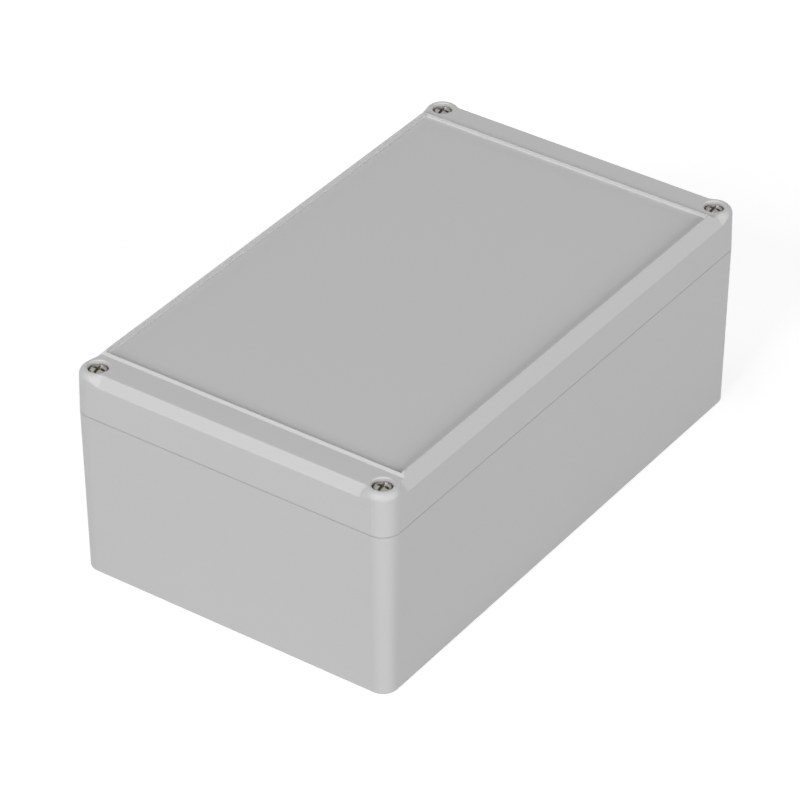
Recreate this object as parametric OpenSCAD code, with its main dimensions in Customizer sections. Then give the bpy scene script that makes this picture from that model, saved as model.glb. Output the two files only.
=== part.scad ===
// Sealed plastic project box: a deep base, a recessed lid with bevelled sides, a gasket in the
// lid's groove, and four captive corner screws that turn into brass inserts in the base.
// Millimetres. +X runs along the box, +Z up, origin at the middle of the underside.

/* [Box] */
// Outside length, at the seam
body_l = 200; // [150:5:300]
// Outside width, at the seam
body_w = 120; // [100:5:200]
// Height of the base, up to the seam
base_h = 60.6; // [45:0.1:100]
// Height of the lid, from the seam to the lands round the screws
lid_h = 15.5; // [14:0.1:25]
// Radius of the upright corners at the seam, with a screw at the centre of each
corner_r = 6.3; // [6:0.1:9]
// Mould draft of the side walls, away from the seam, in degrees
draft = 1; // [0.5:0.1:1.5]
// Thickness of the side walls
wall_t = 3; // [2.8:0.1:5]
// Thickness of the base's floor
floor_t = 3; // [2:0.1:6]
// Chamfer along the underside's edge
foot_chamfer = 0.4; // [0.2:0.1:1]
// Chamfer on the base's edge at the seam
seam_chamfer = 0.1; // [0.05:0.05:0.3]
// Height of the reveal round the lid's foot, which shows as the seam's dark line
reveal_h = 0.1; // [0.05:0.05:0.3]
// Depth of the reveal
reveal_t = 0.4; // [0.2:0.05:0.5]

/* [Lid top] */
// Height of the side bevels below the lands
bevel_h = 3.05; // [2:0.05:4]
// How far the bevels on the short sides run inwards
end_bevel_run = 3; // [2:0.1:4]
// How far the bevels on the long sides run inwards, up to the rim
side_bevel_run = 3.5; // [2.5:0.1:5]
// Distance from a screw's axis to where each bevel starts to run out
bevel_start = 4.5; // [3:0.5:12]
// Length over which each bevel runs out to the corner's round
run_out = 4.2; // [3:0.1:8]
// Round on the lid's top edge at the corner bosses
top_round = 2.4; // [1.2:0.1:2.4]
// Height of the rim along the long sides above the lands
rim_rise = 1.3; // [0.8:0.1:2.5]
// Width of the rim's flat crest
rim_t = 0.5; // [0.4:0.1:3]
// Distance from the lid's end to the foot of the ridge
land_l = 12.2; // [12:0.1:25]
// Slope of the ridge's outer side, in degrees
ridge_slope = 42; // [20:1:45]
// Distance from the ridge's foot to the recess
ridge_t = 1; // [0.8:0.05:1.3]
// Depth of the recess for a keypad or label, below the rim
recess_depth = 1.8; // [1:0.1:2.4]
// Fillet along the foot of the recess's walls
recess_fillet = 0.4; // [0.2:0.1:1.2]
// Round on the rims' inner edges
rim_round = 0.2; // [0.1:0.05:0.3]
// Thickness of the panel under the recess
panel_t = 2.6; // [2:0.1:4]

/* [Seal] */
// Width of the lip between the cavity and the groove
seal_lip = 0.8; // [0.6:0.1:1]
// Width of the groove in the lid
groove_w = 1.4; // [1.2:0.1:1.5]
// Depth of the groove in the lid
groove_h = 3.2; // [2.5:0.1:4]
// Clearance on each side of the base's tongue
tongue_gap = 0.15; // [0.1:0.05:0.25]
// Height of the base's tongue
tongue_h = 2; // [1:0.1:2.2]

/* [Lid screws] */
// Thread diameter
screw_d = 3.5; // [3:0.1:3.8]
// How far the screws reach into the base, below the seam
screw_reach = 7.65; // [7.5:0.05:12]
// Depth of the thread's top end below the seam
thread_start = 0.65; // [0.4:0.05:1.5]
// Diameter of the plain neck between the head and the thread
neck_d = 2.6; // [2:0.1:2.7]
// Diameter of the head
head_d = 6; // [5.5:0.1:6.5]
// Height of the head, at the top of its crown
head_h = 2.4; // [2:0.1:3]
// Rise of the crown above the head's side
crown_h = 0.5; // [0.3:0.1:0.8]
// Round between the head's side and its crown
head_round = 0.3; // [0.1:0.1:0.5]
// Depth of the head's top below the land
head_sink = 0.6; // [0.2:0.05:1.5]
// Radial gap between the head and its counterbore
head_gap = 0.45; // [0.3:0.05:0.8]
// Chamfer at the mouth of the counterbore
mouth_chamfer = 0.3; // [0.2:0.05:0.6]
// Width of a blade of the cross recess
cross_w = 0.8; // [0.6:0.05:1.2]
// Length of the cross recess, tip to tip
cross_l = 4.8; // [3:0.1:4.8]
// Depth of the cross recess
cross_h = 1.5; // [1:0.1:1.8]
// Thickness of the web under the head
web_t = 2.4; // [1.5:0.1:3]
// Radial clearance of the screw in the web
web_gap = 0.15; // [0.1:0.05:0.3]

/* [Retaining washers] */
// Outside diameter
washer_d = 5.6; // [5:0.1:5.8]
// Thickness
washer_t = 0.8; // [0.5:0.1:1.2]
// Radial clearance round the screw's neck
washer_gap = 0.1; // [0.05:0.05:0.15]
// Radial clearance in the lid's bore
washer_bore_gap = 0.2; // [0.1:0.05:0.3]

/* [Corner pillars and inserts] */
// Radius of the pillars round the screws
pillar_r = 6.2; // [6:0.1:8]
// Outside diameter of the brass insert
insert_d = 5; // [4.6:0.1:5.4]
// Length of the insert
insert_l = 7; // [5:0.5:10]
// Depth of the insert's top below the pillar's top
insert_sink = 0.3; // [0.2:0.1:0.8]
// Running clearance of the screw in the insert
thread_gap = 0.05; // [0.02:0.01:0.08]
// Depth of the clear hole below the screw's tip
screw_tip_room = 3; // [2:0.5:6]
// Diameter of the wall-mount holes under the pillars
mount_hole_d = 3.4; // [2.8:0.1:4.2]
// Depth of the wall-mount holes
mount_hole_h = 12; // [8:1:20]

/* [Board bosses] */
// Distance of the bosses in the base from the cavity's ends
board_end = 17; // [14:0.5:50]
// Distance of the bosses in the base from the cavity's sides
board_side = 15; // [12:0.5:30]
// Height of the bosses above the floor
board_boss_h = 8; // [5:0.5:15]
// Distance of the bosses under the lid from the cavity's ends
lid_board_end = 27; // [14:0.5:50]
// Distance of the bosses under the lid from the cavity's sides
lid_board_side = 17; // [12:0.5:30]
// Height of the bosses under the lid
lid_boss_h = 5; // [4:0.5:8]
// Outside diameter of all the bosses
board_boss_d = 7; // [6:0.5:9]
// Diameter of their pilot holes
pilot_d = 2.5; // [2:0.1:3.2]
// Height of the spread foot round each boss
boss_foot = 1; // [0.5:0.1:2]

/* [Hidden] */
$fn = 64;
// how far a cut starts outside the face that it goes through
over = 1;
round_steps = 6;
// places of the screws' axes, at the centres of the corner rounds
axis_x = body_l / 2 - corner_r;
axis_y = body_w / 2 - corner_r;
cavity_l = body_l - 2 * wall_t;
cavity_w = body_w - 2 * wall_t;
// spacings of the boards' bosses
board_l = cavity_l - 2 * board_end;
board_w = cavity_w - 2 * board_side;
lid_board_l = cavity_l - 2 * lid_board_end;
lid_board_w = cavity_w - 2 * lid_board_side;
// heights in the lid, above the seam
rim_z = lid_h + rim_rise;
recess_z = rim_z - recess_depth;
ceiling_z = recess_z - panel_t;
bevel_z = lid_h - bevel_h;
seat_z = lid_h - head_sink - head_h;
web_z = seat_z - web_t;
// half sizes of the lid at the foot of the bevels, of its ridges and of its recess
bevel_x = body_l / 2 - bevel_z * tan(draft);
bevel_y = body_w / 2 - bevel_z * tan(draft);
ridge_x = body_l / 2 - land_l;
recess_x = ridge_x - ridge_t;
recess_y = bevel_y - side_bevel_run - rim_t;
// heights in the base
insert_z = base_h - insert_sink - insert_l;
tip_z = base_h - max(screw_reach, insert_sink + insert_l) - screw_tip_room;
// length of the screws under their heads, and of their threads
screw_l = seat_z + screw_reach;
thread_l = screw_reach - thread_start;
// colours
plastic = [0.76, 0.76, 0.75];
steel = [0.70, 0.70, 0.71];
brass = [0.80, 0.66, 0.34];
rubber = [0.16, 0.16, 0.17];
nylon = [0.92, 0.91, 0.86];

// ---- shapes used by more than one piece ----

module on_corners()
    for (mx = [0, 1], my = [0, 1])
        mirror([mx, 0, 0]) mirror([0, my, 0]) translate([axis_x, axis_y, 0]) children();

module on_rectangle(l, w, z)
    for (x = [-l / 2, l / 2], y = [-w / 2, w / 2])
        translate([x, y, z]) children();

module in_corner(sx, sy, z) translate([sx * axis_x, sy * axis_y, z]) children();

// A section stood upright and run along X
module along_x(l) rotate([90, 0, 90]) linear_extrude(l, center = true) children();

// A section stood upright and run along Y
module along_y(w) rotate([90, 0, 0]) linear_extrude(w, center = true) children();

// The section of a block whose sides lean in as they rise
module leaning(half, h, a)
    polygon([[-half, 0], [half, 0], [half - h * tan(a), h], [h * tan(a) - half, h]]);

// A block with round upright corners whose sides lean in by a degrees as they rise
module drafted(l, w, r, h, a) {
    along_y(w - 2 * r) leaning(l / 2, h, a);
    along_x(l - 2 * r) leaning(w / 2, h, a);
    for (x = [r - l / 2, l / 2 - r], y = [r - w / 2, w / 2 - r])
        translate([x, y, 0]) cylinder(r1 = r, r2 = r - h * tan(a), h = h);
}

// The hollow of a moulding, up to height h: drafted walls, with the corner pillars left standing.
// It starts below z = 0, so that it opens the moulding's mouth.
module hollow(h) {
    spread = over * tan(draft);
    translate([0, 0, -over]) difference() {
        intersection() {
            along_y(body_w) leaning(cavity_l / 2 + spread, h + over, draft);
            along_x(body_l) leaning(cavity_w / 2 + spread, h + over, draft);
        }
        on_corners() translate([0, 0, -over]) linear_extrude(h + 3 * over) pillar_plan(0);
    }
}

// Plan of a corner pillar, joined to both walls, with its face moved in by d
module pillar_plan(d) {
    r = pillar_r - d;
    circle(r);
    translate([0, -r]) square([corner_r, r + corner_r]);
    translate([-r, 0]) square([r + corner_r, corner_r]);
}

// Plan of the cavity with its outline moved out by d, going round the inside of the pillars
module cavity_plan(d)
    difference() {
        square([cavity_l + 2 * d, cavity_w + 2 * d], center = true);
        for (mx = [0, 1], my = [0, 1])
            mirror([mx, 0]) mirror([0, my]) translate([axis_x, axis_y]) pillar_plan(d);
    }

// A ring along the seal line, from d1 to d2 outside the cavity
module seal_ring(d1, d2, h)
    linear_extrude(h) difference() {
        cavity_plan(d2);
        cavity_plan(d1);
    }

// A boss for a board's screw, spread at its foot, standing on z = 0
module board_boss(h) {
    cylinder(d = board_boss_d, h = h);
    cylinder(d1 = board_boss_d + 2 * boss_foot, d2 = board_boss_d, h = boss_foot);
}

// ---- base ----

module base_outside() {
    wall_h = base_h - seam_chamfer - foot_chamfer;
    lean = wall_h * tan(draft);
    translate([0, 0, base_h - seam_chamfer]) {
        drafted(body_l, body_w, corner_r, seam_chamfer, 45);
        mirror([0, 0, 1]) drafted(body_l, body_w, corner_r, wall_h, draft);
    }
    translate([0, 0, foot_chamfer]) mirror([0, 0, 1])
        drafted(body_l - 2 * lean, body_w - 2 * lean, corner_r - lean, foot_chamfer, 45);
}

module base() color(plastic) difference() {
    union() {
        difference() {
            base_outside();
            translate([0, 0, base_h]) mirror([0, 0, 1]) hollow(base_h - floor_t);
        }
        translate([0, 0, base_h])
            seal_ring(seal_lip + tongue_gap, seal_lip + groove_w - tongue_gap, tongue_h);
        on_rectangle(board_l, board_w, floor_t) board_boss(board_boss_h);
    }
    on_corners() {
        translate([0, 0, insert_z]) cylinder(d = insert_d, h = base_h);
        translate([0, 0, tip_z]) cylinder(d = screw_d + 2 * web_gap, h = base_h);
        translate([0, 0, -over]) cylinder(d = mount_hole_d, h = mount_hole_h + over);
    }
    on_rectangle(board_l, board_w, floor_t) cylinder(d = pilot_d, h = base_h);
}

// ---- lid, drawn from the seam upwards ----

// The arc at the top of a side wall, from the wall round to the land
function round_arc(half) =
    let (zc = lid_h - top_round, xc = half - zc * tan(draft) - top_round / cos(draft))
    [for (i = [0 : round_steps])
        let (a = draft + (90 - draft) * i / round_steps)
        [xc + top_round * cos(a), zc + top_round * sin(a)]];

// The section of the lid's walls, with the reveal at the foot and the top edges rounded
module lid_section(half) {
    arc = round_arc(half);
    right = concat([[half - reveal_t, 0], [half - reveal_t, reveal_h],
        [half - reveal_h * tan(draft), reveal_h]], arc);
    polygon(concat(right, [for (i = [len(right) - 1 : -1 : 0]) [-right[i][0], right[i][1]]]));
}

// A round corner boss with the same edge as the walls
module corner_boss()
    rotate_extrude() polygon(concat([[0, 0], [corner_r - reveal_t, 0], [corner_r - reveal_t, reveal_h],
        [corner_r - reveal_h * tan(draft), reveal_h]], round_arc(corner_r), [[0, lid_h]]));

module rounded_walls() {
    along_y(2 * axis_y) lid_section(body_l / 2);
    along_x(2 * axis_x) lid_section(body_w / 2);
    on_corners() corner_boss();
}

// How far out a bevel must move, without turning, to touch the round on a wall whose top is at
// half from the middle
function round_reach(half, foot, slope) =
    let (zc = lid_h - top_round, xc = half - zc * tan(draft) - top_round / cos(draft))
    xc - foot + slope * (zc - bevel_z) + top_round * sqrt(1 + slope * slope);

// The cutter for one bevel along X at +Y: half is the wall's place at the seam, foot its place at
// the bevel's foot, slope the run for each millimetre of rise and half_l half the bevel's length. At
// each end a turned plane leaves the wall just before the screw's axis, as a shallow run-out.
module bevel_cutter(half, foot, slope, half_l) {
    turn = atan(round_reach(half, foot, slope) / run_out);
    translate([0, foot, bevel_z]) intersection() {
        along_x(body_l) bevel_section(slope);
        translate([half_l, 0, 0]) rotate(turn) along_x(2 * body_l) bevel_section(slope);
        translate([-half_l, 0, 0]) rotate(-turn) along_x(2 * body_l) bevel_section(slope);
    }
}

// What lies outside and above a bevel's plane, from its foot
module bevel_section(slope) {
    rise = rim_z + over - bevel_z;
    polygon([[-slope * rise, rise], [slope * over, -over], [body_l, -over], [body_l, rise]]);
}

// The raised middle of the lid: its ends slope up from the lands, and the bevels trim its sides
module plateau()
    along_y(2 * (bevel_y - over)) polygon([
        [-ridge_x, lid_h - over], [ridge_x, lid_h - over], [ridge_x, lid_h],
        [ridge_x - rim_rise / tan(ridge_slope), rim_z],
        [rim_rise / tan(ridge_slope) - ridge_x, rim_z], [-ridge_x, lid_h]]);

module lid_outside() {
    difference() {
        union() {
            rounded_walls();
            plateau();
        }
        for (turn = [0, 180]) rotate(turn)
            bevel_cutter(body_w / 2, bevel_y, side_bevel_run / (bevel_h + rim_rise),
                axis_x - bevel_start);
        for (turn = [90, 270]) rotate(turn)
            bevel_cutter(body_l / 2, bevel_x, end_bevel_run / bevel_h, axis_y - bevel_start);
    }
    on_corners() corner_boss();
}

// The section of the recess: its sides are filleted at the foot and rounded over at the rim
module recess_section(half) {
    foot = [for (i = [0 : round_steps])
        let (a = 90 * i / round_steps)
        [half - recess_fillet * (1 - sin(a)), recess_z + recess_fillet * (1 - cos(a))]];
    crest = [for (i = [0 : round_steps])
        let (a = 90 * i / round_steps)
        [half + rim_round * (1 - cos(a)), rim_z - rim_round * (1 - sin(a))]];
    side = concat(foot, crest, [[half + rim_round, rim_z + over]]);
    polygon(concat(side, [for (i = [len(side) - 1 : -1 : 0]) [-side[i][0], side[i][1]]]));
}

// The shallow pan in the lid's top, for a keypad or a label
module recess()
    intersection() {
        along_y(body_w) recess_section(recess_x);
        along_x(body_l) recess_section(recess_y);
    }

// All that is cut for one screw: counterbore with its chamfer, hole in the web, washer bore
module screw_way() {
    mouth_r = head_d / 2 + head_gap;
    translate([0, 0, seat_z]) cylinder(r = mouth_r, h = lid_h);
    translate([0, 0, lid_h - mouth_chamfer])
        cylinder(r1 = mouth_r, r2 = mouth_r + mouth_chamfer + over, h = mouth_chamfer + over);
    cylinder(d = screw_d + 2 * web_gap, h = lid_h);
    translate([0, 0, -over]) cylinder(r = washer_d / 2 + washer_bore_gap, h = web_z + over);
}

module lid() color(plastic) translate([0, 0, base_h]) difference() {
    union() {
        difference() {
            lid_outside();
            hollow(ceiling_z);
        }
        on_rectangle(lid_board_l, lid_board_w, ceiling_z) mirror([0, 0, 1]) board_boss(lid_boss_h);
    }
    recess();
    translate([0, 0, -over]) seal_ring(seal_lip, seal_lip + groove_w, groove_h + over);
    on_corners() screw_way();
    on_rectangle(lid_board_l, lid_board_w, ceiling_z - lid_boss_h - over)
        cylinder(d = pilot_d, h = lid_boss_h + over);
}

// ---- seal ----

module gasket() color(rubber) translate([0, 0, base_h + tongue_h])
    seal_ring(seal_lip, seal_lip + groove_w, groove_h - tongue_h);

// ---- screws, inserts and washers ----

// A crowned cheese-head screw with a cross recess, its seat at z = 0
module lid_screw() {
    side_h = head_h - crown_h;
    crown_x = head_d / 2 - head_round;
    crown_r = (crown_x * crown_x + crown_h * crown_h) / (2 * crown_h);
    crown_a = asin(crown_x / crown_r);
    edge = [for (i = [0 : round_steps])
        let (a = (90 - crown_a) * i / round_steps)
        [crown_x + head_round * (cos(a) - sin(crown_a)), side_h + head_round * (sin(a) - cos(crown_a))]];
    crown = [for (i = [1 : round_steps])
        let (a = crown_a * (1 - i / round_steps))
        [crown_r * sin(a), head_h - crown_r * (1 - cos(a))]];
    tip = (screw_d - neck_d) / 2;
    difference() {
        rotate_extrude() polygon(concat([[0, -screw_l], [screw_d / 2 - tip, -screw_l],
            [screw_d / 2, tip - screw_l], [screw_d / 2, thread_l - tip - screw_l],
            [neck_d / 2, thread_l - screw_l], [neck_d / 2, 0],
            [crown_x + head_round * (1 - sin(crown_a)), 0]], edge, crown));
        for (a = [0, 90]) rotate(a) along_y(cross_w) polygon([
            [-cross_l / 2, head_h + over], [-cross_l / 2, head_h], [-cross_l / 4, head_h - cross_h],
            [cross_l / 4, head_h - cross_h], [cross_l / 2, head_h], [cross_l / 2, head_h + over]]);
    }
}

module placed_screw(sx, sy, turn) color(steel)
    in_corner(sx, sy, base_h + seat_z) rotate(turn) lid_screw();

module insert(sx, sy) color(brass) in_corner(sx, sy, insert_z) difference() {
    cylinder(d = insert_d, h = insert_l);
    translate([0, 0, -over]) cylinder(d = screw_d + 2 * thread_gap, h = insert_l + 2 * over);
}

module washer(sx, sy) color(nylon) in_corner(sx, sy, base_h) difference() {
    cylinder(d = washer_d, h = washer_t);
    translate([0, 0, -over]) cylinder(d = neck_d + 2 * washer_gap, h = washer_t + 2 * over);
}

base();
lid();
gasket();
placed_screw(-1, -1, 5);  // screw_front_left
placed_screw(1, -1, 0);  // screw_front_right
placed_screw(-1, 1, 7);  // screw_back_left
placed_screw(1, 1, 4);  // screw_back_right
insert(-1, -1);  // insert_front_left
insert(1, -1);  // insert_front_right
insert(-1, 1);  // insert_back_left
insert(1, 1);  // insert_back_right
washer(-1, -1);  // washer_front_left
washer(1, -1);  // washer_front_right
washer(-1, 1);  // washer_back_left
washer(1, 1);  // washer_back_right
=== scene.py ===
import math

import bmesh
import bpy
from mathutils import Matrix, Vector


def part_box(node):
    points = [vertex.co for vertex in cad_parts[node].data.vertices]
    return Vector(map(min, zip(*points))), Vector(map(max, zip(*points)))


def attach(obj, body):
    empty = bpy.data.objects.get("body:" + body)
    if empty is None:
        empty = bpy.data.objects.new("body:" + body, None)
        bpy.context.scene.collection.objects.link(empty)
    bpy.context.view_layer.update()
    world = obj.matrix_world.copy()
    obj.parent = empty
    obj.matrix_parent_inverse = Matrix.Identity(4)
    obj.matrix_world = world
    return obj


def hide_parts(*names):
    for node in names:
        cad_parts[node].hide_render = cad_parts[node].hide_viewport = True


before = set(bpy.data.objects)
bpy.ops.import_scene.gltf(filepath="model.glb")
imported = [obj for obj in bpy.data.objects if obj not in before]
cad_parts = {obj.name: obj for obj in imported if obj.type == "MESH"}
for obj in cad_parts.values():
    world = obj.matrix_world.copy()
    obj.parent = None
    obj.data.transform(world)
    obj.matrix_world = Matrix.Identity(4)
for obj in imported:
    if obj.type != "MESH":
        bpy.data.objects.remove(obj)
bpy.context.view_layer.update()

scene = bpy.context.scene
scene.view_settings.view_transform = "Standard"


# Camera: a long lens well back from the box, looking down on the corner where its long front
# meets its left end. The lens, distance and angle give the box nearly parallel sides.
mm = 0.001               # the scene is in metres
camera_azimuth, camera_elevation = math.radians(-55), math.radians(35)
camera_distance = 1431.8 * mm
aim = Vector((0, 0, 40 * mm))                  # a point on the box's upright axis
aim_across, aim_up = -4.57 * mm, -7.14 * mm    # small shift that sets the box in the frame

back = Vector((math.sin(camera_azimuth) * math.cos(camera_elevation),
               -math.cos(camera_azimuth) * math.cos(camera_elevation),
               math.sin(camera_elevation)))
right = Vector((math.cos(camera_azimuth), math.sin(camera_azimuth), 0))
up = back.cross(right)
camera = bpy.data.objects.new("camera", bpy.data.cameras.new("camera"))
camera.data.lens = 200.2
camera.data.sensor_width = 36
camera.data.clip_end = 20
camera.matrix_world = (
    Matrix.Translation(aim + back * camera_distance + right * aim_across + up * aim_up)
    @ Matrix((right, up, back)).transposed().to_4x4())
scene.collection.objects.link(camera)
scene.camera = camera


# Floor: a wide sheet of matt white paper under the box. Its own glow, which only the camera and
# mirror-like surfaces see, takes it to white, and it keeps the soft shadow at the box's foot.
paper_glow = 0.79
paper_reach = 4          # metres from the middle of the sheet to each side


def linear(hex_colour):
    parts = [int(hex_colour[i:i + 2], 16) / 255 for i in (1, 3, 5)]
    return [p / 12.92 if p <= 0.04045 else ((p + 0.055) / 1.055) ** 2.4 for p in parts] + [1]


def add(tree, kind, settings=None, links=None):
    """Add a node with its settings, and link its inputs to the sockets given."""
    node = tree.nodes.new(kind)
    for name, value in (settings or {}).items():
        if isinstance(name, str) and name not in node.inputs:
            setattr(node, name, value)
        else:
            node.inputs[name].default_value = value
    for name, socket in (links or {}).items():
        tree.links.new(socket, node.inputs[name])
    return node


def new_material(name):
    material = bpy.data.materials.new(name)
    material.use_nodes = True
    material.node_tree.nodes.clear()
    return material, material.node_tree


def new_object(name, shape, material):
    """Turn a finished bmesh into an object at the origin."""
    mesh = bpy.data.meshes.new(name)
    shape.to_mesh(mesh)
    shape.free()
    mesh.materials.append(material)
    piece = bpy.data.objects.new(name, mesh)
    scene.collection.objects.link(piece)
    return piece


def seen_or_mirrored(tree, strength):
    """The strength for rays from the camera, a mirror or clear plastic, and 0 for the rest."""
    path = add(tree, "ShaderNodeLightPath")
    mirrored = add(tree, "ShaderNodeMath", {"operation": "MAXIMUM"},
                   {0: path.outputs["Is Glossy Ray"], 1: path.outputs["Is Transmission Ray"]})
    either = add(tree, "ShaderNodeMath", {"operation": "MAXIMUM"},
                 {0: path.outputs["Is Camera Ray"], 1: mirrored.outputs[0]})
    return add(tree, "ShaderNodeMath", {"operation": "MULTIPLY", 1: strength},
               {0: either.outputs[0]}).outputs[0]


paper, tree = new_material("matt_white_paper")
surface = add(tree, "ShaderNodeBsdfDiffuse", {"Color": linear("#A0A0A0")})
glow = add(tree, "ShaderNodeEmission", {"Color": (1, 1, 1, 1)},
           {"Strength": seen_or_mirrored(tree, paper_glow)})
lit = add(tree, "ShaderNodeAddShader", None, {0: surface.outputs[0], 1: glow.outputs[0]})
add(tree, "ShaderNodeOutputMaterial", None, {"Surface": lit.outputs[0]})

sheet = bmesh.new()
bmesh.ops.create_grid(sheet, x_segments=1, y_segments=1, size=paper_reach)
floor = new_object("floor", sheet, paper)


# Light: five large softboxes in a dim white room. The left one is the strongest and stands
# fairly high, so the left end is the brightest side and the bevel over it is brighter still. Two
# weak low ones light the far sides and glint in the screw heads.
room_light = 0.1
backdrop_white = 1.0
softbox_side = 2.5       # metres
softbox_distance = 5     # metres

world = bpy.data.worlds.new("white_studio")
scene.world = world
world.use_nodes = True
tree = world.node_tree
tree.nodes.clear()
room = add(tree, "ShaderNodeBackground", {"Color": (1, 1, 1, 1), "Strength": room_light})
backdrop = add(tree, "ShaderNodeBackground",
               {"Color": (1, 1, 1, 1), "Strength": backdrop_white})
surroundings = add(tree, "ShaderNodeMixShader", None,
                   {0: seen_or_mirrored(tree, 1.0), 1: room.outputs[0], 2: backdrop.outputs[0]})
add(tree, "ShaderNodeOutputWorld", None, {"Surface": surroundings.outputs[0]})

for name, direction, watts in (("left_softbox", (-0.9, 0.05, 0.46), 183),
                               ("front_softbox", (-0.05, -0.95, 0.33), 149),
                               ("overhead_softbox", (-0.25, 0.25, 0.94), 39),
                               ("back_softbox", (0.4, 0.85, 0.15), 35),
                               ("right_softbox", (0.95, 0.2, 0.15), 25)):
    away = Vector(direction).normalized()
    lamp = bpy.data.objects.new(name, bpy.data.lights.new(name, "AREA"))
    lamp.data.energy = watts
    lamp.data.size = softbox_side
    lamp.matrix_world = (Matrix.Translation(aim + away * softbox_distance)
                         @ away.to_track_quat("Z", "Y").to_matrix().to_4x4())
    scene.collection.objects.link(lamp)


# Base and lid: the two halves of the box, injection moulded in light grey ABS in a mould whose
# faces are spark eroded. The lid drops over the base's tongue and four screws hold it down.
grain = 0.45 * mm       # the real grain is about 0.05 mm: drawn coarser, or it wouldn't show
flow = 45 * mm          # length of the slow changes of shade
seam_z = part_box("lid")[0].z   # where the lid meets the base
seam_shade_half_height = 0.22 * mm   # half the height of the band of painted shade in the joint
edge_radius = 0.4 * mm

# the eroded mould gives an even matt skin with a fine grain: every edge is slightly rounded, and
# slow changes of shade and gloss lie where the melt flowed
abs_plastic, tree = new_material("moulded_abs_spark_eroded")
place = add(tree, "ShaderNodeTexCoord").outputs["Object"]
slow = add(tree, "ShaderNodeTexNoise", {"Scale": 1 / flow, "Detail": 2, "Roughness": 0.5},
           {"Vector": place})
fine = add(tree, "ShaderNodeTexNoise", {"Scale": 1 / grain, "Detail": 2, "Roughness": 0.6},
           {"Vector": place})
shade = add(tree, "ShaderNodeMix", {"data_type": "RGBA"}, {"Factor": slow.outputs["Fac"]})
shade.inputs[6].default_value = linear("#C1C1C1")
shade.inputs[7].default_value = linear("#C4C4C4")
speckle = add(tree, "ShaderNodeMapRange",
              {"From Min": 0.3, "From Max": 0.7, "To Min": 0.985, "To Max": 1.015},
              {"Value": fine.outputs["Fac"]})
height = add(tree, "ShaderNodeSeparateXYZ", None, {0: place}).outputs["Z"]
# painted shade: a thin band at the joint is darkened to 0.8 of the colour, standing in for the
# shadow inside the joint's reveal
in_seam = add(tree, "ShaderNodeMath", {"operation": "COMPARE", 1: seam_z, 2: seam_shade_half_height},
              {0: height})
painted_seam_shade = add(tree, "ShaderNodeMapRange", {"To Min": 1.0, "To Max": 0.8},
           {"Value": in_seam.outputs[0]})
tone = add(tree, "ShaderNodeMath", {"operation": "MULTIPLY"},
           {0: speckle.outputs[0], 1: painted_seam_shade.outputs[0]})
colour = add(tree, "ShaderNodeVectorMath", {"operation": "SCALE"},
             {0: shade.outputs[2], "Scale": tone.outputs[0]})
gloss = add(tree, "ShaderNodeMapRange",
            {"From Min": 0.3, "From Max": 0.7, "To Min": 0.55, "To Max": 0.65},
            {"Value": slow.outputs["Fac"]})
edges = add(tree, "ShaderNodeBevel", {"samples": 8, "Radius": edge_radius})
skin = add(tree, "ShaderNodeBump", {"Strength": 0.4, "Distance": 0.05 * mm},
           {"Height": fine.outputs["Fac"], "Normal": edges.outputs[0]})
surface = add(tree, "ShaderNodeBsdfPrincipled", {"IOR": 1.54},
              {"Base Color": colour.outputs[0], "Roughness": gloss.outputs[0],
               "Normal": skin.outputs[0]})
add(tree, "ShaderNodeOutputMaterial", None, {"Surface": surface.outputs["BSDF"]})

for name in ("base", "lid"):
    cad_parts[name].material_slots[0].material = abs_plastic


# Gasket: one moulded ring of black silicone rubber, pressed into the groove under the lid, where
# the base's tongue squeezes it.
gasket_edge = 0.28 * mm
gasket_corner = 60       # degrees: sharper edges than this are rounded
bloom = 3 * mm

# moulded silicone is a soft, matt black with a faint, cloudy bloom
rubber, tree = new_material("moulded_silicone_rubber")
place = add(tree, "ShaderNodeTexCoord").outputs["Object"]
cloud = add(tree, "ShaderNodeTexNoise", {"Scale": 1 / bloom, "Detail": 4, "Roughness": 0.6},
            {"Vector": place})
shade = add(tree, "ShaderNodeMix", {"data_type": "RGBA"}, {"Factor": cloud.outputs["Fac"]})
shade.inputs[6].default_value = linear("#1C1D1E")
shade.inputs[7].default_value = linear("#333435")
gloss = add(tree, "ShaderNodeMapRange", {"To Min": 0.7, "To Max": 0.9},
            {"Value": cloud.outputs["Fac"]})
skin = add(tree, "ShaderNodeBump", {"Strength": 0.3, "Distance": 0.05 * mm},
           {"Height": cloud.outputs["Fac"]})
surface = add(tree, "ShaderNodeBsdfPrincipled", {"IOR": 1.41},
              {"Base Color": shade.outputs[2], "Roughness": gloss.outputs[0],
               "Normal": skin.outputs[0]})
add(tree, "ShaderNodeOutputMaterial", None, {"Surface": surface.outputs["BSDF"]})


def sharp_edges(shape, least_angle):
    return [e for e in shape.edges
            if len(e.link_faces) == 2 and e.calc_face_angle(0) > math.radians(least_angle)]


ring = bmesh.new()
ring.from_mesh(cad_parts["gasket"].data)
bmesh.ops.remove_doubles(ring, verts=ring.verts, dist=1e-7)
bmesh.ops.bevel(ring, geom=sharp_edges(ring, gasket_corner), offset=gasket_edge, segments=3,
                profile=0.5, affect="EDGES", material=-1, clamp_overlap=True)
for face in ring.faces:
    face.smooth = True
gasket = new_object("seal_gasket", ring, rubber)
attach(gasket, "lid")
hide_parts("gasket")


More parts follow.
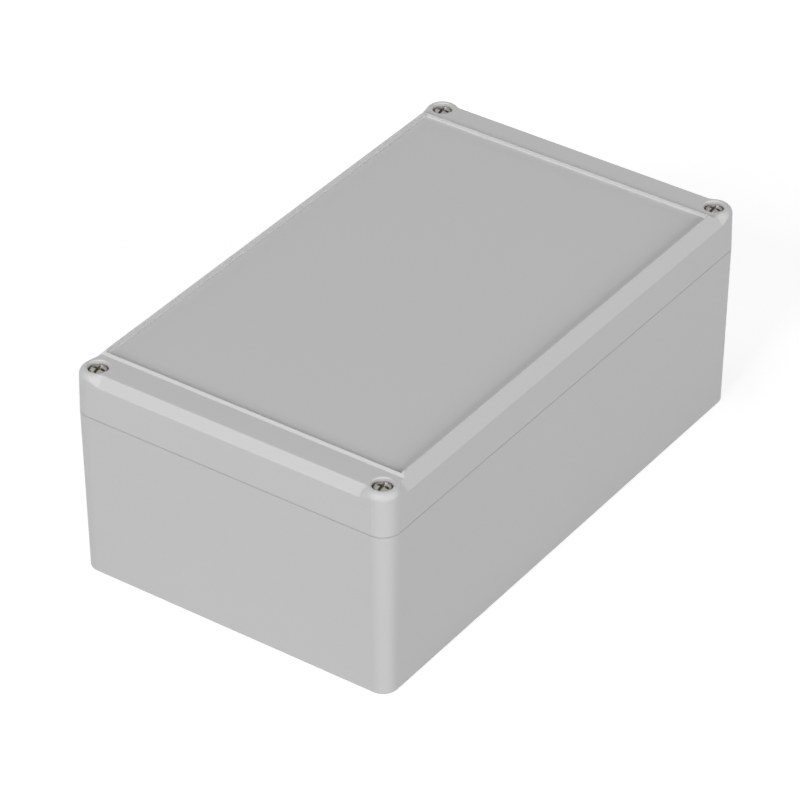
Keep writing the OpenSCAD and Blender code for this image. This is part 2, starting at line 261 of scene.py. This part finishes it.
# Screws: four captive M3.5 screws of stainless steel, one in each corner of the lid. Bar is
# turned to a low domed head and a thin neck, the cross recess is punched, and the thread is
# rolled on the end only.
screw_turn = {"front_left": 5, "front_right": 0, "back_left": 7, "back_right": 4}  # degrees
corners = tuple(screw_turn)
screw_low, screw_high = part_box("screw_front_left")
head_seat = 73.1 * mm     # the under side of the head
head_r = (screw_high.x - screw_low.x) / 2
head_edge = 0.2 * mm      # bevel round the under side of the head
crown_r = 9.5 * mm        # radius of the dome on the head
crown_edge = 2.5 * mm     # where the dome ends and the rounded shoulder starts
crown_steps = 5           # steps in the dome, and in the shoulder
around = 64               # steps in a full turn of the head
neck_r = 1.3 * mm
neck_bevel = 0.15 * mm    # bevel between the neck and the head
# the cross recess's blades: they taper, so they are about 4.7 mm long where they meet the dome
recess_l, recess_w, recess_h = 5.1 * mm, 1.05 * mm, 1.4 * mm
punch_over = 0.5 * mm     # how far the punch stands over the head
blade_top = 1.3, 1.12     # length and width of a blade at its top, as shares of the recess's
blade_tip = 0.4, 0.7      # and at its tip
thread_top = 59.95 * mm
thread_r, root_r = 1.75 * mm, 1.38 * mm
thread_runout = 0.1 * mm  # height of the taper above the thread
thread_turns = 10.5
turn_steps = 24           # steps in each turn of the thread
pitch = 0.6 * mm
tooth_root = 0.26 * mm    # half the tooth's height at its root
tooth_flat = 0.05 * mm    # half the flat on its crest
tooth_sink = 0.05 * mm    # how deep its root lies in the core
tooth_end = 0.77          # share of the radius at its two ends, which puts them in the core
point_h, point_in = 0.5 * mm, 0.4 * mm   # the tapered point
turning = 0.45 * mm       # real turning marks are about 0.08 mm apart: drawn wider to show
steel_cloud = 1.5 * mm
wave_spacing = 2 * math.pi / 20   # between the Wave node's rings, at a scale of 1


def axis_of(corner):
    low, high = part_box("screw_" + corner)
    return (low + high) / 2


def lathe(shape, profile, steps):
    """Turn a profile of (radius, height) points about the upright axis."""
    verts = [shape.verts.new((r, 0, z)) for r, z in profile]
    edges = [shape.edges.new(pair) for pair in zip(verts, verts[1:])]
    bmesh.ops.spin(shape, geom=verts + edges, cent=(0, 0, 0), axis=(0, 0, 1),
                   angle=2 * math.pi, steps=steps, use_merge=True)
    bmesh.ops.remove_doubles(shape, verts=shape.verts, dist=1e-7)
    bmesh.ops.recalc_face_normals(shape, faces=shape.faces)


# head, neck and the core of the thread, turned in one piece
crown_top = screw_high.z
slope = math.asin(crown_edge / crown_r)
shoulder = (head_r - crown_edge) / (1 - math.sin(slope))
shoulder_z = crown_top - crown_r * (1 - math.cos(slope)) - shoulder * math.cos(slope)
profile = []
for i in range(crown_steps + 1):
    out = crown_edge * i / crown_steps
    profile.append((out, crown_top - crown_r + math.sqrt(crown_r ** 2 - out ** 2)))
for i in range(1, crown_steps + 1):
    angle = slope + (math.pi / 2 - slope) * i / crown_steps
    profile.append((head_r - shoulder + shoulder * math.sin(angle),
                    shoulder_z + shoulder * math.cos(angle)))
profile += [(head_r, head_seat + head_edge), (head_r - head_edge, head_seat),
            (neck_r + neck_bevel, head_seat), (neck_r, head_seat - neck_bevel),
            (neck_r, thread_top), (root_r, thread_top - thread_runout),
            (root_r, screw_low.z + point_h), (root_r - point_in, screw_low.z),
            (0, screw_low.z)]
blank = bmesh.new()
lathe(blank, profile, around)

# the punch that makes the cross recess: two tapered blades
steel_blank = new_object("screw_blank", blank, None)
for quarter in (0, 1):
    punch_shape = bmesh.new()
    bmesh.ops.create_cube(punch_shape, size=1)
    for vert in punch_shape.verts:
        high = vert.co.z > 0
        long, wide = blade_top if high else blade_tip
        vert.co.x *= recess_l * long
        vert.co.y *= recess_w * wide
        vert.co.z = crown_top + (punch_over if high else -recess_h)
    bmesh.ops.rotate(punch_shape, verts=punch_shape.verts, cent=(0, 0, 0),
                     matrix=Matrix.Rotation(math.pi / 2 * quarter, 3, "Z"))
    punch = new_object("punch", punch_shape, None)
    cut = steel_blank.modifiers.new("recess", "BOOLEAN")
    cut.operation = "DIFFERENCE"
    cut.object = punch
    punched = bpy.data.meshes.new_from_object(
        steel_blank.evaluated_get(bpy.context.evaluated_depsgraph_get()))
    steel_blank.modifiers.clear()
    steel_blank.data = punched
    bpy.data.objects.remove(punch)
head_and_neck = steel_blank.data
bpy.data.objects.remove(steel_blank)

# the rolled thread: one tooth carried round and up in a right-hand helix
tooth = bmesh.new()
start = thread_top - thread_runout - tooth_root - thread_turns * pitch
verts = [tooth.verts.new((r, 0, start + z)) for r, z in (
    (root_r - tooth_sink, tooth_root), (thread_r, tooth_flat),
    (thread_r, -tooth_flat), (root_r - tooth_sink, -tooth_root))]
edges = [tooth.edges.new((verts[i], verts[(i + 1) % 4])) for i in range(4)]
bmesh.ops.spin(tooth, geom=verts + edges, cent=(0, 0, 0), axis=(0, 0, 1),
               dvec=(0, 0, pitch / turn_steps), angle=2 * math.pi * thread_turns,
               steps=int(thread_turns * turn_steps), use_merge=False)
open_ends = [e for e in tooth.edges if e.is_boundary]
bmesh.ops.scale(tooth, verts=list({v for e in open_ends for v in e.verts}),
                vec=(tooth_end, tooth_end, 1))
bmesh.ops.holes_fill(tooth, edges=open_ends, sides=4)
bmesh.ops.recalc_face_normals(tooth, faces=tooth.faces)
thread_mesh = bpy.data.meshes.new("thread")
tooth.to_mesh(thread_mesh)
tooth.free()

# turned stainless steel is a warm grey metal, with fine rings on the head that catch the light
for corner in corners:
    centre = axis_of(corner)
    steel, tree = new_material("turned_stainless_" + corner)
    place = add(tree, "ShaderNodeTexCoord").outputs["Object"]
    about_axis = add(tree, "ShaderNodeMapping", {"Location": (-centre.x, -centre.y, 0)},
                     {"Vector": place}).outputs[0]
    rings = add(tree, "ShaderNodeTexWave",
                {"wave_type": "RINGS", "rings_direction": "Z", "Scale": wave_spacing / turning,
                 "Distortion": 0.6, "Detail": 1}, {"Vector": about_axis})
    cloud = add(tree, "ShaderNodeTexNoise", {"Scale": 1 / steel_cloud, "Detail": 3},
                {"Vector": place})
    shade = add(tree, "ShaderNodeMix", {"data_type": "RGBA"}, {"Factor": cloud.outputs["Fac"]})
    shade.inputs[6].default_value = linear("#8A8883")
    shade.inputs[7].default_value = linear("#A3A19B")
    gloss = add(tree, "ShaderNodeMapRange", {"To Min": 0.3, "To Max": 0.42},
                {"Value": rings.outputs["Fac"]})
    marks = add(tree, "ShaderNodeBump", {"Strength": 0.6, "Distance": 0.03 * mm},
                {"Height": rings.outputs["Fac"]})
    surface = add(tree, "ShaderNodeBsdfPrincipled", {"Metallic": 1.0},
                  {"Base Color": shade.outputs[2], "Roughness": gloss.outputs[0],
                   "Normal": marks.outputs[0]})
    add(tree, "ShaderNodeOutputMaterial", None, {"Surface": surface.outputs["BSDF"]})

    shape = bmesh.new()
    shape.from_mesh(head_and_neck)
    shape.from_mesh(thread_mesh)
    bmesh.ops.rotate(shape, verts=shape.verts, cent=(0, 0, 0),
                     matrix=Matrix.Rotation(math.radians(screw_turn[corner]), 3, "Z"))
    bmesh.ops.translate(shape, verts=shape.verts, vec=(centre.x, centre.y, 0))
    for face in shape.faces:
        face.smooth = True
    piece = new_object("captive_screw_" + corner, shape, steel)
    piece.data.set_sharp_from_angle(angle=math.radians(30))
    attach(piece, "screw_" + corner)
    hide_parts("screw_" + corner)


# Inserts: four brass bushes, turned from bar, knurled in two bands and pressed into the base's
# pillars to take the screws.
insert_low, insert_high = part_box("insert_front_left")
insert_r, insert_bore_r = 2.5 * mm, 1.8 * mm
band_start, band_end = 0.8 * mm, 3.0 * mm   # each knurled band, from its end of the bush
groove_r = insert_r - 0.35 * mm             # between the bands
collar_in = 0.1 * mm      # how far the plain ends stand in from the bands
lead_in = 0.3 * mm        # how far the foot stands in, to start it in the pillar
bevel_in = 0.2 * mm       # bevel at each end of the bore
knurl_h = 0.12 * mm
teeth = 32
facing = 0.3 * mm         # real facing marks are finer: drawn wider to show
brass_cloud = 2 * mm

# fresh turned brass is a bright yellow metal, with the rings of the facing cut on its top
for corner in corners:
    centre = axis_of(corner)
    brass, tree = new_material("turned_brass_" + corner)
    place = add(tree, "ShaderNodeTexCoord").outputs["Object"]
    about_axis = add(tree, "ShaderNodeMapping", {"Location": (-centre.x, -centre.y, 0)},
                     {"Vector": place}).outputs[0]
    rings = add(tree, "ShaderNodeTexWave",
                {"wave_type": "RINGS", "rings_direction": "Z", "Scale": wave_spacing / facing},
                {"Vector": about_axis})
    cloud = add(tree, "ShaderNodeTexNoise", {"Scale": 1 / brass_cloud, "Detail": 3},
                {"Vector": place})
    shade = add(tree, "ShaderNodeMix", {"data_type": "RGBA"}, {"Factor": cloud.outputs["Fac"]})
    shade.inputs[6].default_value = linear("#B08D4C")
    shade.inputs[7].default_value = linear("#C7A562")
    gloss = add(tree, "ShaderNodeMapRange", {"To Min": 0.22, "To Max": 0.34},
                {"Value": rings.outputs["Fac"]})
    marks = add(tree, "ShaderNodeBump", {"Strength": 0.3, "Distance": 0.015 * mm},
                {"Height": rings.outputs["Fac"]})
    surface = add(tree, "ShaderNodeBsdfPrincipled", {"Metallic": 1.0},
                  {"Base Color": shade.outputs[2], "Roughness": gloss.outputs[0],
                   "Normal": marks.outputs[0]})
    add(tree, "ShaderNodeOutputMaterial", None, {"Surface": surface.outputs["BSDF"]})

    low, high = insert_low.z, insert_high.z
    bands = [low + band_start, low + band_end, high - band_end, high - band_start]
    profile = [(insert_bore_r, low + bevel_in), (insert_bore_r + bevel_in, low),
               (insert_r - lead_in, low), (insert_r - collar_in, bands[0]),
               (insert_r, bands[0]), (insert_r, bands[1]), (groove_r, bands[1]),
               (groove_r, bands[2]), (insert_r, bands[2]), (insert_r, bands[3]),
               (insert_r - collar_in, bands[3]), (insert_r - collar_in, high - collar_in),
               (insert_r - 2 * collar_in, high), (insert_bore_r + bevel_in, high),
               (insert_bore_r, high - bevel_in), (insert_bore_r, low + bevel_in)]
    shape = bmesh.new()
    lathe(shape, profile, 2 * teeth)
    for vert in shape.verts:   # every second row of a band is pressed in
        row = round(math.degrees(math.atan2(vert.co.y, vert.co.x)) * teeth / 180)
        if row % 2 == 1 and vert.co.xy.length > insert_r - 0.01 * mm:
            vert.co.xy *= 1 - knurl_h / insert_r
    bmesh.ops.translate(shape, verts=shape.verts, vec=(centre.x, centre.y, 0))
    piece = new_object("insert_bush_" + corner, shape, brass)
    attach(piece, "base")
    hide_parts("insert_" + corner)


# Washers: four small rings of natural nylon, punched from sheet and pushed over each screw's
# thread onto its neck, so that the screw can't fall out of the lid.
washer_low, washer_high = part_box("washer_front_left")
washer_r, washer_bore_r = 2.8 * mm, 1.4 * mm
washer_steps = 48         # steps in a full turn
soft = 0.15 * mm          # how far the punch softens the edges
nylon_cloud = 1.2 * mm
nylon_depth = 0.5 * mm    # how deep light goes in

# natural nylon is milky white and slightly glossy, and lets a little light in
nylon, tree = new_material("punched_natural_nylon")
place = add(tree, "ShaderNodeTexCoord").outputs["Object"]
cloud = add(tree, "ShaderNodeTexNoise", {"Scale": 1 / nylon_cloud, "Detail": 3},
            {"Vector": place})
shade = add(tree, "ShaderNodeMix", {"data_type": "RGBA"}, {"Factor": cloud.outputs["Fac"]})
shade.inputs[6].default_value = linear("#D9D6CC")
shade.inputs[7].default_value = linear("#E6E3DA")
skin = add(tree, "ShaderNodeBump", {"Strength": 0.15, "Distance": 0.03 * mm},
           {"Height": cloud.outputs["Fac"]})
surface = add(tree, "ShaderNodeBsdfPrincipled",
              {"IOR": 1.53, "Roughness": 0.42, "Subsurface Weight": 0.2,
               "Subsurface Radius": (1, 1, 1), "Subsurface Scale": nylon_depth},
              {"Base Color": shade.outputs[2], "Normal": skin.outputs[0]})
add(tree, "ShaderNodeOutputMaterial", None, {"Surface": surface.outputs["BSDF"]})

for corner in corners:
    centre = axis_of(corner)
    low, high = washer_low.z, washer_high.z
    profile = [(washer_bore_r, low + soft), (washer_bore_r + soft, low), (washer_r - soft, low),
               (washer_r, low + soft), (washer_r, high - soft), (washer_r - soft, high),
               (washer_bore_r + soft, high), (washer_bore_r, high - soft),
               (washer_bore_r, low + soft)]
    shape = bmesh.new()
    lathe(shape, profile, washer_steps)
    bmesh.ops.translate(shape, verts=shape.verts, vec=(centre.x, centre.y, 0))
    for face in shape.faces:
        face.smooth = True
    piece = new_object("captive_washer_" + corner, shape, nylon)
    piece.data.set_sharp_from_angle(angle=math.radians(30))
    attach(piece, "washer_" + corner)
    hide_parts("washer_" + corner)
